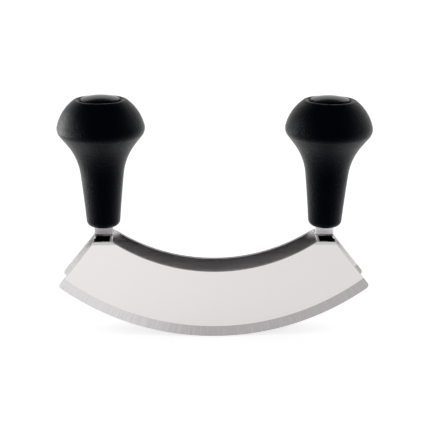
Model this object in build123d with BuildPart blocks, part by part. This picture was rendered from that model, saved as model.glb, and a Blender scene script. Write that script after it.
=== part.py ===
from build123d import *

import os
from math import acos, asin, atan2, degrees, hypot, radians, sqrt, tan

# A mezzaluna with two parallel crescent blades and two knob handles. It stands on its cutting
# edges: X runs along the blades, Y from the front blade to the rear one, Z up, and the origin
# is on the table midway between the blades.

# Blade sheet
blade_length = 155.0        # from tip to tip
blade_height = 35.35        # at the middle, edge to back
edge_radius = 126.25        # curve of the cutting edge
sheet = 1.0                 # thickness of the steel
sheet_rounding = 0.4        # along its punched edges, on both faces
blade_spacing = 20.3        # from outer face to outer face
tip_rounding = 2.0
bevel_width = 5.6           # ground band along the cutting edge, on both faces
edge_land = 0.15            # thickness left at the cutting edge

# Tangs: each blade folds inwards at its two top corners, runs to the middle and turns up
tang_inset = 22.1           # of a tang's axis from the blade's tip
tang_width = 9.2
shelf_rise = 1.3            # of the shelf's upper face above the corner at the blade's end
back_drop = 0.6             # of the corner at the hollow back below the shelf's upper face
fold_radius = 2.0           # inside of the fold from the blade into the shelf
neck_bend_radius = 1.0      # inside of the tighter bend from the shelf up into the neck
tang_root_rounding = 1.2    # in both corners
neck_height = 4.8           # bare tang between shelf and handle
tongue_width = 7.0          # narrow part that passes through the handle
tongue_rounding = 1.5

# Handle, heights from its foot
foot_radius = 8.15
foot_rounding = 3.0
stem_hollow = 0.2           # how far the stem's side curves in
throat_radius = 11.6        # corner where the stem meets the head's underside
throat_height = 35.2
throat_rounding = 30.0
shoulder_height = 48.1      # corner where the underside meets the dome
shoulder_rounding = 5.5
dome_radius = 21.8
dome_centre_height = 45.6
lip_rounding = 2.0          # rim round the cap

# Inside of the handle
bore_radius = 8.5
bore_floor_height = 31.5
lip_wall = 0.5              # straight stretch between the lip's rounding and the cap's seat
mouth_depth = 4.5           # wide part of the slot, up to the step that meets the tangs' shoulders
slot_clearance = 0.15       # each side of the tangs

# Cap
cap_radius = 9.4
cap_side = 2.9              # height of its side above the seat
cap_rise = 1.5              # of its domed top
cap_rounding = 0.5
cap_groove = 0.4            # open ring between cap and lip
plug_length = 6.0
plug_wall = 1.5
plug_clearance = 0.05

# Washer and pin
washer_thickness = 1.2
washer_clearance = 0.3
pin_radius = 1.25
pin_length = 14.0
pin_clearance = 0.05
pin_end_chamfer = 0.3
tongue_above_pin = 3.3      # from the pin's axis to the end of the tongue

overrun = 5.0               # how far cuts run past the metal

# Worked out from the sizes above
outer_face = blade_spacing / 2
bevel_depth = (sheet - edge_land) / 2
tip_reach = hypot(edge_radius - tip_rounding, tip_rounding)
half_angle = degrees(asin((blade_length / 2 - tip_rounding) / tip_reach)
                     + atan2(tip_rounding, edge_radius - tip_rounding))
fan_reach = edge_radius * tan(radians(half_angle))      # of the two end lines, at the table
tang_axis = blade_length / 2 - tang_inset
tang_outer = tang_axis + tang_width / 2
tang_inner = tang_axis - tang_width / 2
shelf_height = edge_radius - tang_outer / tan(radians(half_angle)) + shelf_rise
back_rise = shelf_height - back_drop - blade_height
back_radius = (tang_inner**2 + back_rise**2) / (2 * back_rise)
foot_height = shelf_height + neck_height
shoulder_z = foot_height + mouth_depth
bore_floor_z = foot_height + bore_floor_height
pin_z = bore_floor_z + washer_thickness + pin_radius
tongue_top_z = pin_z + tongue_above_pin
shoulder_angle = degrees(asin((shoulder_height - dome_centre_height) / dome_radius))
rim_radius = cap_radius + cap_groove
rim_angle = degrees(acos(rim_radius / dome_radius))
rim_rise = sqrt((dome_radius - lip_rounding)**2 - (rim_radius + lip_rounding)**2)
cap_seat_height = dome_centre_height + rim_rise - lip_wall
cap_dome_radius = (cap_radius**2 + cap_rise**2) / (2 * cap_rise)
cap_dome_angle = degrees(asin(cap_radius / cap_dome_radius))
plug_radius = bore_radius - plug_clearance
slot_thickness = 2 * (sheet + slot_clearance)


# One blade with its two tangs, as the front blade lies
with BuildPart() as blade:
    # Section of the folded sheet, seen along the blade
    with BuildSketch(Plane.YZ):
        with BuildLine():
            FilletPolyline(
                (-outer_face, -overrun),
                (-outer_face, shelf_height),
                (-sheet, shelf_height),
                (-sheet, tongue_top_z + overrun),
                radius=[fold_radius + sheet, neck_bend_radius],
            )
            offset(amount=sheet, side=Side.RIGHT)
        make_face()
    extrude(amount=blade_length / 2 + overrun, both=True)

    # Outline seen from the front: a crescent between two arcs, cut off along two radial lines
    with BuildSketch(Plane.XZ) as outline:
        with Locations((0, edge_radius)):
            Circle(edge_radius)
        with Locations((0, blade_height + back_radius)):
            Circle(back_radius, mode=Mode.SUBTRACT)
        with BuildLine():
            Polyline((0, edge_radius), (-fan_reach, 0), (-fan_reach, -overrun),
                     (fan_reach, -overrun), (fan_reach, 0), close=True)
        make_face(mode=Mode.INTERSECT)
        fillet(outline.vertices().group_by(Axis.Y)[0], radius=tip_rounding)
        for side in (-1, 1):
            with Locations((side * tang_axis, blade_height)):
                Rectangle(tang_width, shoulder_z - blade_height, align=(Align.CENTER, Align.MIN))
        near_tangs = outline.vertices().filter_by(
            lambda v: tang_inner - tang_root_rounding < abs(v.X) < tang_outer + tang_root_rounding
        )
        fillet(near_tangs.filter_by(lambda v: v.Y < shelf_height), radius=tang_root_rounding)
        for side in (-1, 1):
            with Locations((side * tang_axis, shelf_height)):
                Rectangle(tongue_width, tongue_top_z - shelf_height, align=(Align.CENTER, Align.MIN))
        fillet(outline.vertices().group_by(Axis.Y)[-1], radius=tongue_rounding)
        with Locations((-tang_axis, pin_z), (tang_axis, pin_z)):
            Circle(pin_radius + pin_clearance, mode=Mode.SUBTRACT)
    extrude(amount=outer_face + overrun, both=True, mode=Mode.INTERSECT)

    # Punched edges are rounded on both faces: from the four big arcs it runs on all along the outline
    fillet(blade.edges().filter_by(GeomType.CIRCLE).sort_by(SortBy.RADIUS)[-4:], radius=sheet_rounding)

    # Bevel ground on both faces: two shallow cones round the axis of the cutting edge's arc
    for face, inwards in ((-outer_face, 1), (-outer_face + sheet, -1)):
        with BuildSketch(Plane.XY.offset(edge_radius)):
            with BuildLine():
                Polyline(
                    (edge_radius - bevel_width, face),
                    (edge_radius, face + inwards * bevel_depth),
                    (edge_radius + overrun, face + inwards * bevel_depth),
                    (edge_radius + overrun, face - inwards * overrun),
                    (edge_radius - bevel_width, face - inwards * overrun),
                    close=True,
                )
            make_face()
        revolve(axis=Axis((0, 0, edge_radius), (0, 1, 0)), mode=Mode.SUBTRACT)


# One handle on its own axis, open at the top for the washer, the pin and the cap
with BuildPart() as handle:
    with BuildSketch(Plane.XZ.shift_origin((0, 0, foot_height))) as handle_profile:
        with BuildLine():
            foot = Line((0, 0), (foot_radius, 0))
            stem = SagittaArc(foot @ 1, (throat_radius, throat_height), stem_hollow)
            dome = CenterArc(
                (0, dome_centre_height), dome_radius, shoulder_angle, rim_angle - shoulder_angle
            )
            flank = Line(stem @ 1, dome @ 0)
            Polyline(dome @ 1, (rim_radius, cap_seat_height), (0, cap_seat_height), (0, 0))
        make_face()
        fillet(handle_profile.vertices().sort_by_distance(foot @ 1)[0], radius=foot_rounding)
        fillet(handle_profile.vertices().sort_by_distance(stem @ 1)[0], radius=throat_rounding)
        fillet(handle_profile.vertices().sort_by_distance(flank @ 1)[0], radius=shoulder_rounding)
        fillet(handle_profile.vertices().sort_by_distance(dome @ 1)[0], radius=lip_rounding)
    revolve(axis=Axis.Z)

    # Bore from the cap's seat down to the floor that carries the washer
    with BuildSketch(Plane.XY.offset(foot_height + cap_seat_height)):
        Circle(bore_radius)
    extrude(amount=bore_floor_height - cap_seat_height, mode=Mode.SUBTRACT)

    # Wide mouth up to the tangs' shoulders, then a narrower slot for the two tongues
    with BuildSketch(Plane.XY.offset(foot_height)):
        Rectangle(tang_width + 2 * slot_clearance, slot_thickness)
    extrude(amount=mouth_depth, mode=Mode.SUBTRACT)
    with BuildSketch(Plane.XY.offset(shoulder_z)):
        Rectangle(tongue_width + 2 * slot_clearance, slot_thickness)
    extrude(amount=bore_floor_height - mouth_depth, mode=Mode.SUBTRACT)


# Glossy cap: a domed disc in the ring of the lip, with a hollow plug that grips the bore
with BuildPart() as cap:
    with BuildSketch(Plane.XZ.shift_origin((0, 0, foot_height + cap_seat_height))) as cap_profile:
        with BuildLine():
            cap_edge = Line((cap_radius, 0), (cap_radius, cap_side))
            cap_dome = CenterArc(
                (0, cap_side + cap_rise - cap_dome_radius),
                cap_dome_radius,
                90 - cap_dome_angle,
                cap_dome_angle,
            )
            Polyline(
                cap_dome @ 1,
                (0, 0),
                (plug_radius - plug_wall, 0),
                (plug_radius - plug_wall, -plug_length),
                (plug_radius, -plug_length),
                (plug_radius, 0),
                cap_edge @ 0,
            )
        make_face()
        fillet(cap_profile.vertices().sort_by_distance(cap_edge @ 1)[0], radius=cap_rounding)
    revolve(axis=Axis.Z)


# Retaining washer on the floor of the bore, slotted for the two tongues
with BuildPart() as washer:
    with BuildSketch(Plane.XY.offset(bore_floor_z)):
        Circle(bore_radius - washer_clearance)
        Rectangle(tongue_width + 2 * slot_clearance, slot_thickness, mode=Mode.SUBTRACT)
    extrude(amount=washer_thickness)


# Pin through the two tongues, lying on the washer
with BuildPart() as cross_pin:
    with BuildSketch(Plane.XZ.shift_origin((0, 0, pin_z))):
        Circle(pin_radius)
    extrude(amount=pin_length / 2, both=True)
    chamfer(cross_pin.edges().filter_by(GeomType.CIRCLE), length=pin_end_chamfer)


# The pieces in their places: the rear blade is the front one turned round, and the two sides match
os.makedirs("parts", exist_ok=True)

for name, turn in (("front_blade", 0), ("rear_blade", 180)):
    with BuildPart() as placed_blade:
        add(blade.part, rotation=(0, 0, turn))
    placed_blade.part.label = name
    export_step(placed_blade.part, f"parts/{name}.step")

for side_name, side in (("left", -1), ("right", 1)):
    for piece_name, piece in (("handle", handle), ("cap", cap), ("washer", washer), ("cross_pin", cross_pin)):
        with BuildPart() as placed_piece:
            with Locations((side * tang_axis, 0, 0)):
                add(piece.part)
        placed_piece.part.label = f"{side_name}_{piece_name}"
        export_step(placed_piece.part, f"parts/{side_name}_{piece_name}.step")

print(f"shelf {shelf_height:.3f}, hollow back radius {back_radius:.3f}, half angle {half_angle:.3f}")
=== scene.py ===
from math import cos, pi, radians, sin

import bpy
from mathutils import Matrix, Vector

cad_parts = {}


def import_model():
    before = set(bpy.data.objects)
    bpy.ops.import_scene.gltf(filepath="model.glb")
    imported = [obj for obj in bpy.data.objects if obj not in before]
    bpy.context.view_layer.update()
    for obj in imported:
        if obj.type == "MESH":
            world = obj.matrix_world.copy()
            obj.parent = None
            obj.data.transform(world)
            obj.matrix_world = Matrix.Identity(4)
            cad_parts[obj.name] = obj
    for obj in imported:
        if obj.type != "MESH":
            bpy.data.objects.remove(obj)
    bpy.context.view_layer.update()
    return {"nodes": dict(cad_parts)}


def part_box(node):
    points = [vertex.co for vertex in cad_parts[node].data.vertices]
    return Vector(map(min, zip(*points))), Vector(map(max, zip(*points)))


# The looks of a mezzaluna with two polished crescent blades, matte black knobs and gloss black
# caps. All lengths are in metres. X runs along the blades, Y from the front blade to the rear
# one and Z up; the cutting edges stand on the floor at Z = 0.

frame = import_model()

# Blade, as in the solids
EDGE_RADIUS = 0.12625           # of the cutting edge's arc, whose centre is straight above the middle
HALF_ANGLE = radians(38.336)    # from the middle to each of the two radii that cut the blade's ends
BEVEL_WIDTH = 0.0056
BEVEL_BLEND = 0.0002            # over which the polish turns into the ground band
INNER_FACE = 0.00915            # of each blade, from the middle
SHEET_ROUNDING = 0.0004         # of the sheet's punched edges
SHELF_HEIGHT = 0.051675         # of the shelves that carry the necks
NECK_PLACE = (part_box("right_handle")[0][0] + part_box("right_handle")[1][0]) / 2

# Polished steel
STEEL_COLOUR = (0.712, 0.69, 0.685)
POLISH_ROUGHNESS = 0.09
BRUSH_PITCH = 0.0006            # between the faint brush lines along the blade
BRUSH_LENGTH = 0.03
BRUSH_DETAIL = 1.0
BRUSH_DEPTH = 0.000002
BRUSH_ROUGHNESS = 0.03          # that a brush line adds to the polish
SMUDGE_ROUGHNESS = 0.04         # that a cloud of handling adds to the polish

# Bevels, which are ground across the cutting edge
LIT_BEVEL_COLOUR = (0.662, 0.645, 0.654)    # towards the left end, painted lighter as if more light falls there
SHADED_BEVEL_COLOUR = (0.437, 0.416, 0.421)     # from the middle on, painted shade
BEVEL_SHADE_PLACES = (-0.06, 0.005)    # along the blade, where the painted shade begins and where it is full
BEVEL_TONE_SPREAD = 1.2               # by which the tone differs at random from one grinding line to the next
GRIND_PITCH = 0.00055           # between the grinding lines
GRIND_LENGTH = 0.012
GRIND_DETAIL = 3.0
GRIND_DEPTH = 0.00002
GRIND_ROUGHNESS = 0.32
GRIND_SPREAD = 0.12             # of the roughness from one grinding line to the next

# Inner faces, whose brush lines show more
BRUSHED_COLOUR = (0.73, 0.72, 0.72)
SHADED_COLOUR = (0.57, 0.565, 0.57)     # of their darkest lines
SHADED_SHARES = (0.38, 0.62)    # of a brush line's height, where it begins to darken and is darkest

# Painted light on the inner faces, which are also rougher there: corners beside the necks, and margins
# along the cut ends, where light gets in between the blades
GAP_LIGHT_COLOUR = (0.9, 0.88, 0.88)
GAP_LIGHT_ROUGHNESS = 0.65
CORNER_HEIGHTS = (0.045, 0.05)  # where the corners begin and where they are full
CORNER_REACH = (0.005, 0.0095)  # from the neck's middle, where they are still full and where they end
CORNER_BLEND = 0.001            # over which they end past the neck's middle, towards the cut end
MARGIN_HEIGHTS = (0.039, 0.045)         # where the margins are still full and where they end
MARGIN_REACH = (0.003, 0.006)   # from the cut end, where they are still full and where they end

# Necks, which the polishing wheel doesn't reach
NECK_COLOUR = (0.62, 0.6, 0.6)          # of the left ones, painted darker than the right ones as if less light falls on them
LIT_NECK_COLOUR = (0.92, 0.89, 0.895)        # of the right ones, painted lighter as if more light falls on them
NECK_ROUGHNESS = 0.5

# Painted shade: black on top of the shelves, in the corner under the handles where shade falls
SHELF_SHADE_COLOUR = (0.0015, 0.0015, 0.0018)
SHELF_SHADE_DEPTHS = (0.0012, 0.0036)         # from midway between the blades, where it begins and is full
SHELF_SHADE_DROPS = (0.001, 0.0007)   # below the top of the shelf, where it ends and where it is still full
SHELF_SHADE_HALF_WIDTHS = (0.0034, 0.0038)    # from the neck's middle, where it is still full and where it ends

# Faint clouds that handling leaves on steel and plastic
SMUDGE_SIZE = 0.018
SMUDGE_DETAIL = 3.0
CAP_SMUDGE_DETAIL = 4.0

# Plastic
BLACK_COLOUR = (0.0007, 0.0013, 0.0032)
BLACK_SHEEN = (0.01, 0.015, 0.03)       # keeps the black deep where it is looked at squarely
HANDLE_INDEX = 1.3              # of refraction
HANDLE_ROUGHNESS = 0.24
HANDLE_SPREAD = 0.08            # of that roughness, where handling has dulled the grain
GRAIN_SIZE = 0.0007             # of the fine moulded texture
GRAIN_DETAIL = 2.0
GRAIN_DEPTH = 0.00025
CAP_ROUGHNESS = 0.05
CAP_SPREAD = 0.04               # of that roughness, where handling has dulled the gloss

# Turned steel inside the handles
FASTENER_COLOUR = (0.6, 0.6, 0.61)
FASTENER_ROUGHNESS = 0.3
LATHE_PITCH = 0.0002            # between the lines that the lathe leaves
LATHE_DETAIL = 2.0
LATHE_DEPTH = 0.000004
LATHE_SPREAD = 0.1              # of the roughness from one such line to the next

# Camera: a long lens, a little left of the middle and above the handles
CAMERA_PLACE = Vector((-0.012079, -0.450814, 0.203972))
CAMERA_PITCH = 0.3057           # downwards, in radians
CAMERA_YAW = 0.0273             # to the right
CAMERA_ROLL = 0.0078
FOCAL_PIXELS = 945.37
IMAGE_PIXELS = 430
SENSOR_WIDTH = 36.0             # millimetres
NEAREST = 0.01                  # distance that the camera shows
FARTHEST = 20.0

# Floor
FLOOR_RADIUS = 3.0
FLOOR_SIDES = 128
FLOOR_DROP = 0.00002            # below the cutting edges, so that they don't share a plane
FLOOR_COLOUR = (0.8, 0.8, 0.8)
FLOOR_FILL = 0.62               # light added where the floor is looked at or mirrored, so that it is white
GAP_FILL = 0.95                 # the same between the blades, where little light gets in, as gloss shows it
GAP_HALF = 0.0095               # half the width between the blades
GAP_BLEND = 0.0005
GAP_ENDS = (0.05, 0.075)        # from the middle, where the gap's fill is still full and where it ends
FILL_LEAN = 0.13                # how much more of it gloss shows at the left than at the right
LEAN_REACH = 0.1                # to each side of the middle, over which it changes

# Room and lamp
WHITE = (1.0, 1.0, 1.0)
DARK = (0.0, 0.0, 0.0)
ROOM_LEVEL = 0.6                # of the room's light on matt surfaces
MIRROR_LEVEL = 0.8              # of the room as gloss shows it
OPENING_LEVEL = 0.05            # of the dark opening in the room's roof, which gloss alone shows
OPENING_RISE = radians(78)      # of the direction to its middle, above the level line to the back
OPENING_REACH = (radians(52), radians(38))      # from its middle, where it ends and where it is darkest
OPENING_WIDENING = 0.8          # by which its shape is stretched sideways
LEFT_LAMP = {"place": (-0.26, 0.0, 0.1), "target": (0.0, 0.0, 0.1), "size": (0.36, 0.18), "level": 4.6}

# Places of a Mix node's sockets when it mixes colours
MIX_SHARE = 0
MIX_FIRST = 6
MIX_SECOND = 7
MIX_RESULT = 2


class Wire:
    """A node's output, which can stand in sums and products."""

    def __init__(self, graph, socket):
        self.graph = graph
        self.socket = socket

    def output(self, name):
        """Another output of the same node."""
        return Wire(self.graph, self.socket.node.outputs[name])

    def math(self, operation, *values):
        inputs = dict(enumerate(values))
        return self.graph.add("ShaderNodeMath", {"operation": operation}, inputs)

    def __add__(self, other):
        return self.math("ADD", self, other)

    __radd__ = __add__

    def __sub__(self, other):
        return self.math("SUBTRACT", self, other)

    def __rsub__(self, other):
        return self.math("SUBTRACT", other, self)

    def __mul__(self, other):
        return self.math("MULTIPLY", self, other)

    __rmul__ = __mul__

    def __truediv__(self, other):
        return self.math("DIVIDE", self, other)

    def __rtruediv__(self, other):
        return self.math("DIVIDE", other, self)

    def __abs__(self):
        return self.math("ABSOLUTE", self)

    def larger(self, other):
        return self.math("MAXIMUM", self, other)

    def root(self):
        return self.math("SQRT", self)

    def turn(self, other):
        """The angle of a point whose height is this value and whose side is the other."""
        return self.math("ARCTAN2", self, other)

    def step(self, start, end):
        """0 up to start, 1 from end on and smooth between them, whichever of the two is larger."""
        settings = {"interpolation_type": "SMOOTHSTEP"}
        inputs = {"Value": self, "From Min": start, "From Max": end}
        return self.graph.add("ShaderNodeMapRange", settings, inputs)


class Graph:
    """The nodes of one material or of the world."""

    def __init__(self, owner):
        owner.use_nodes = True
        self.tree = owner.node_tree
        self.tree.nodes.clear()

    def add(self, kind, settings=(), inputs=(), output=0):
        """Adds a node, sets it up, then gives its sockets values or wires."""
        node = self.tree.nodes.new(kind)
        for name, value in dict(settings).items():
            setattr(node, name, value)
        for name, value in dict(inputs).items():
            if isinstance(value, Wire):
                self.tree.links.new(value.socket, node.inputs[name])
            else:
                node.inputs[name].default_value = value
        return Wire(self, node.outputs[output]) if node.outputs else None

    def place(self, kind="Object"):
        """The three coordinates of the shaded point, or of the direction in the world."""
        point = self.add("ShaderNodeTexCoord", output=kind)
        parts = self.add("ShaderNodeSeparateXYZ", inputs={0: point})
        return [parts.output(name) for name in "XYZ"]

    def rays(self):
        """Whether the camera looks here, and whether a mirror or a clear body does."""
        path = self.add("ShaderNodeLightPath")
        mirror = path.output("Is Glossy Ray").larger(path.output("Is Transmission Ray"))
        return path.output("Is Camera Ray"), mirror

    def noise(self, x, y, z, detail):
        """A cloud between 0 and 1 at a point given in cloud sizes."""
        point = self.add("ShaderNodeCombineXYZ", inputs={0: x, 1: y, 2: z})
        return self.add("ShaderNodeTexNoise", inputs={"Vector": point, "Scale": 1.0, "Detail": detail})

    def even_noise(self, place, size, detail):
        """The same where the clouds are as long as they are wide."""
        return self.noise(*(part / size for part in place), detail)

    def mix_colour(self, share, first, second):
        """From the first colour to the second."""
        settings = {"data_type": "RGBA"}
        inputs = {MIX_SHARE: share, MIX_FIRST: rgba(first), MIX_SECOND: rgba(second)}
        return self.add("ShaderNodeMix", settings, inputs, output=MIX_RESULT)

    def bump(self, height, depth):
        """Normals of a relief whose height runs from 0 to 1 over the given depth."""
        return self.add("ShaderNodeBump", inputs={"Height": height, "Distance": depth})

    def dull(self, colour):
        """A surface without any gloss."""
        inputs = {"Base Color": rgba(colour), "Roughness": 1.0, "Specular IOR Level": 0.0}
        return self.add("ShaderNodeBsdfPrincipled", inputs=inputs)

    def blend(self, share, first, second):
        """From the first surface to the second."""
        return self.add("ShaderNodeMixShader", inputs={0: share, 1: first, 2: second})

    def finish(self, shader, kind="ShaderNodeOutputMaterial"):
        """Ends the graph in its output node."""
        self.add(kind, inputs={"Surface": shader})


def rgba(colour):
    """A colour with its fourth part."""
    return colour if isinstance(colour, Wire) else (*colour, 1.0)


def new_material(name):
    """A material and its empty graph."""
    material = bpy.data.materials.new(name)
    return material, Graph(material)


def gap_light_share(x, z):
    """1 where painted light brightens the inner faces beside the necks and along the cut ends, and 0
    elsewhere.
    """
    side = abs(x)
    neck_distance = abs(side - NECK_PLACE)
    past_neck = side.step(NECK_PLACE, NECK_PLACE + CORNER_BLEND)
    corner = z.step(*CORNER_HEIGHTS) * (1 - neck_distance.step(*CORNER_REACH)) * (1 - past_neck)
    end_distance = (EDGE_RADIUS - z) * sin(HALF_ANGLE) - side * cos(HALF_ANGLE)
    margin = (1 - end_distance.step(*MARGIN_REACH)) * (1 - z.step(*MARGIN_HEIGHTS))
    return corner.larger(margin)


def shelf_shade_share(x, y, z):
    """1 where painted shade blackens the shelves, and 0 elsewhere."""
    neck_distance = abs(abs(x) - NECK_PLACE)
    drop = SHELF_HEIGHT - z
    on_shelf = abs(y).step(*SHELF_SHADE_DEPTHS) * drop.step(*SHELF_SHADE_DROPS)
    return on_shelf * (1 - neck_distance.step(*SHELF_SHADE_HALF_WIDTHS))


def blade_steel():
    """Sheet polished along its length and ground across the bevels, with dull necks; painted shade blackens
    the shelves and darkens the bevels, and painted light brightens the right necks and parts of the inner
    faces.
    """
    material, graph = new_material("blade_steel")
    x, y, z = place = graph.place()
    rise = EDGE_RADIUS - z
    reach = (x * x + rise * rise).root()
    along = x.turn(rise) * EDGE_RADIUS
    bevel_reach = EDGE_RADIUS - BEVEL_WIDTH
    ground = reach.step(bevel_reach - BEVEL_BLEND, bevel_reach)
    inner = 1 - abs(y).step(INNER_FACE, INNER_FACE + SHEET_ROUNDING)
    neck = z.step(SHELF_HEIGHT, SHELF_HEIGHT + SHEET_ROUNDING)
    gap_light = inner * (1 - neck) * gap_light_share(x, z)

    smudges = graph.even_noise(place, SMUDGE_SIZE, SMUDGE_DETAIL)
    brushing = graph.noise(x / BRUSH_LENGTH, y / BRUSH_PITCH, z / BRUSH_PITCH, BRUSH_DETAIL)
    grinding = graph.noise(along / GRIND_PITCH, reach / GRIND_LENGTH, y / GRIND_LENGTH, GRIND_DETAIL)

    inside = graph.mix_colour(brushing.step(*SHADED_SHARES), BRUSHED_COLOUR, SHADED_COLOUR)
    # Painted light where light gets in between the blades, near the necks and the cut ends
    inside = graph.mix_colour(gap_light, inside, GAP_LIGHT_COLOUR)
    sheet = graph.mix_colour(inner, STEEL_COLOUR, inside)
    # Painted light: the right necks are lighter than the left ones
    dull = graph.mix_colour(x.step(-NECK_PLACE, NECK_PLACE), NECK_COLOUR, LIT_NECK_COLOUR)
    face = graph.mix_colour(neck, sheet, dull)
    # Painted light and shade: the bevels are lighter at the left end and darker from the middle on; the
    # tone also differs at random from one grinding line to the next
    wear_and_bevel_shade = x.step(*BEVEL_SHADE_PLACES) + BEVEL_TONE_SPREAD * (grinding - 0.5)
    bevel = graph.mix_colour(wear_and_bevel_shade, LIT_BEVEL_COLOUR, SHADED_BEVEL_COLOUR)

    polish = POLISH_ROUGHNESS + SMUDGE_ROUGHNESS * smudges + BRUSH_ROUGHNESS * brushing
    polish = polish + (NECK_ROUGHNESS - POLISH_ROUGHNESS) * neck
    polish = polish + (GAP_LIGHT_ROUGHNESS - polish) * gap_light
    stone = GRIND_ROUGHNESS + GRIND_SPREAD * grinding
    relief = brushing * (BRUSH_DEPTH / GRIND_DEPTH) * (1 - ground) + grinding * ground
    steel = graph.add("ShaderNodeBsdfPrincipled", inputs={
        "Base Color": graph.mix_colour(ground, face, bevel),
        "Metallic": 1.0,
        "Roughness": polish + (stone - polish) * ground,
        "Normal": graph.bump(relief, GRIND_DEPTH),
    })
    # Painted shade: a dull black surface stands on the shelves, where the handles shade them
    graph.finish(graph.blend(shelf_shade_share(x, y, z), steel, graph.dull(SHELF_SHADE_COLOUR)))
    return material


def handle_plastic():
    """Black plastic from a mould with a fine matt grain."""
    material, graph = new_material("handle_plastic")
    place = graph.place()
    grain = graph.even_noise(place, GRAIN_SIZE, GRAIN_DETAIL)
    wear_and_bevel_shade = graph.even_noise(place, SMUDGE_SIZE, SMUDGE_DETAIL)
    graph.finish(graph.add("ShaderNodeBsdfPrincipled", inputs={
        "Base Color": rgba(BLACK_COLOUR),
        "Roughness": HANDLE_ROUGHNESS + HANDLE_SPREAD * wear_and_bevel_shade,
        "IOR": HANDLE_INDEX,
        "Specular Tint": rgba(BLACK_SHEEN),
        "Normal": graph.bump(grain, GRAIN_DEPTH),
    }))
    return material


def cap_plastic():
    """Gloss black plastic with the faint clouds of handling."""
    material, graph = new_material("cap_plastic")
    wear_and_bevel_shade = graph.even_noise(graph.place(), SMUDGE_SIZE, CAP_SMUDGE_DETAIL)
    graph.finish(graph.add("ShaderNodeBsdfPrincipled", inputs={
        "Base Color": rgba(BLACK_COLOUR),
        "Roughness": CAP_ROUGHNESS + CAP_SPREAD * wear_and_bevel_shade,
        "Specular Tint": rgba(BLACK_SHEEN),
    }))
    return material


def fastener_steel():
    """Turned steel of the washers and pins inside the handles."""
    material, graph = new_material("fastener_steel")
    rings = graph.even_noise(graph.place(), LATHE_PITCH, LATHE_DETAIL)
    graph.finish(graph.add("ShaderNodeBsdfPrincipled", inputs={
        "Base Color": rgba(FASTENER_COLOUR),
        "Metallic": 1.0,
        "Roughness": FASTENER_ROUGHNESS + LATHE_SPREAD * rings,
        "Normal": graph.bump(rings, LATHE_DEPTH),
    }))
    return material


def dress_nodes():
    """Gives every solid the finish that its name asks for."""
    finishes = {"blade": blade_steel(), "handle": handle_plastic(), "cap": cap_plastic()}
    fasteners = fastener_steel()
    for name, node in frame["nodes"].items():
        finish = finishes.get(name.split("_")[-1], fasteners)
        for slot in node.material_slots:
            slot.material = finish


def floor_material():
    """White paper, filled up to white where it is looked at, directly or in gloss."""
    material, graph = new_material("studio_floor")
    camera, mirror = graph.rays()
    x, y = graph.place()[:2]
    outside = abs(y).step(GAP_HALF, GAP_HALF + GAP_BLEND).larger(abs(x).step(*GAP_ENDS))
    lean = FILL_LEAN * (0.5 - x.step(-LEAN_REACH, LEAN_REACH))
    mirrored = GAP_FILL + (FLOOR_FILL + lean - GAP_FILL) * outside
    fill = camera * FLOOR_FILL + (1 - camera) * mirror * mirrored
    paper = graph.add("ShaderNodeBsdfDiffuse", inputs={"Color": rgba(FLOOR_COLOUR)})
    glow = graph.add("ShaderNodeEmission", inputs={"Color": graph.mix_colour(fill, DARK, WHITE)})
    graph.finish(graph.add("ShaderNodeAddShader", inputs={0: paper, 1: glow}))
    return material


def floor():
    """A wide round floor under the cutting edges."""
    bpy.ops.mesh.primitive_circle_add(
        vertices=FLOOR_SIDES, radius=FLOOR_RADIUS, fill_type="NGON", location=(0, 0, -FLOOR_DROP))
    plane = bpy.context.object
    plane.name = "floor"
    plane.data.materials.append(floor_material())


def world():
    """Plain white room, dimmer as light on surfaces, with an opening in its roof that gloss shows dark."""
    room = bpy.data.worlds.new("room")
    bpy.context.scene.world = room
    graph = Graph(room)
    camera, mirror = graph.rays()
    x, y, z = graph.place("Generated")
    side = x * OPENING_WIDENING
    nearness = (y * cos(OPENING_RISE) + z * sin(OPENING_RISE)) / (side * side + y * y + z * z).root()
    opening = nearness.step(*(cos(angle) for angle in OPENING_REACH))
    mirrored = MIRROR_LEVEL + (OPENING_LEVEL - MIRROR_LEVEL) * opening
    level = ROOM_LEVEL + (1 - ROOM_LEVEL) * camera + (mirrored - ROOM_LEVEL) * mirror
    light = graph.add("ShaderNodeBackground", inputs={"Color": rgba(WHITE), "Strength": level})
    graph.finish(light, "ShaderNodeOutputWorld")


def plastic_nodes():
    """The handles and caps, for the lamp that lights nothing else."""
    plastics = bpy.data.collections.new("plastics")
    for name, node in frame["nodes"].items():
        if name.endswith(("handle", "cap")):
            plastics.objects.link(node)
    return plastics


def soft_lamp(name, receivers, place, target, size, level):
    """A wide soft lamp that shows in the receivers' gloss alone."""
    lamp = bpy.data.lights.new(name, "AREA")
    lamp.shape = "RECTANGLE"
    lamp.size, lamp.size_y = size
    lamp.energy = level * pi * size[0] * size[1]
    box = bpy.data.objects.new(name, lamp)
    bpy.context.scene.collection.objects.link(box)
    box.location = place
    box.rotation_euler = (Vector(target) - Vector(place)).to_track_quat("-Z", "Y").to_euler()
    box.visible_camera = False
    box.visible_diffuse = False
    box.light_linking.receiver_collection = receivers


def camera():
    """The photograph's view: yaw about Z, pitch about the level axis, then roll about the line of sight."""
    lens = bpy.data.cameras.new("camera")
    lens.sensor_width = SENSOR_WIDTH
    lens.lens = SENSOR_WIDTH * FOCAL_PIXELS / IMAGE_PIXELS
    lens.clip_start = NEAREST
    lens.clip_end = FARTHEST
    eye = bpy.data.objects.new("camera", lens)
    bpy.context.scene.collection.objects.link(eye)
    turn = (Matrix.Rotation(-CAMERA_YAW, 4, "Z")
            @ Matrix.Rotation(pi / 2 - CAMERA_PITCH, 4, "X")
            @ Matrix.Rotation(CAMERA_ROLL, 4, "Z"))
    eye.matrix_world = Matrix.Translation(CAMERA_PLACE) @ turn
    bpy.context.scene.camera = eye


dress_nodes()
floor()
world()
soft_lamp("left_lamp", plastic_nodes(), **LEFT_LAMP)
camera()
bpy.context.scene.view_settings.view_transform = "Standard"
